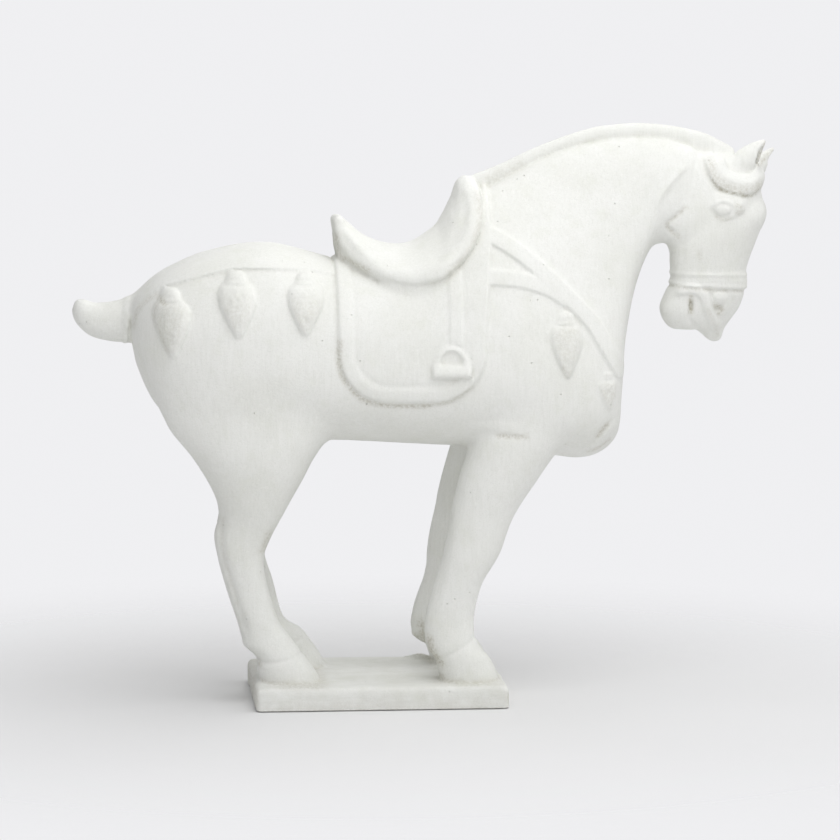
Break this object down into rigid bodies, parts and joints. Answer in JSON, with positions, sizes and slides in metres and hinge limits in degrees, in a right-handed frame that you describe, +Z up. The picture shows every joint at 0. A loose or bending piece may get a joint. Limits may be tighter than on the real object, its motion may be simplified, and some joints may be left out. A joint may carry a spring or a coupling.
{
  "type": "concrete horse sculpture",
  "caption": "Saddled horse with arched neck and lowered head, standing square on a low plinth, cast as one piece in white concrete to stand on a shelf or console.",
  "frame": {"origin": "middle of the plinth's flat underside, on the surface that it stands on", "axes": "+X towards the horse's head, +Y towards the horse's left side, +Z up"},
  "size_m": [0.6415, 0.1864, 0.5201],
  "materials": {
    "white_concrete": "matte, slightly chalky cast concrete"
  },
  "bodies": {
    "root": {"horse_sculpture": "white_concrete"}
  },
  "joints": []
}
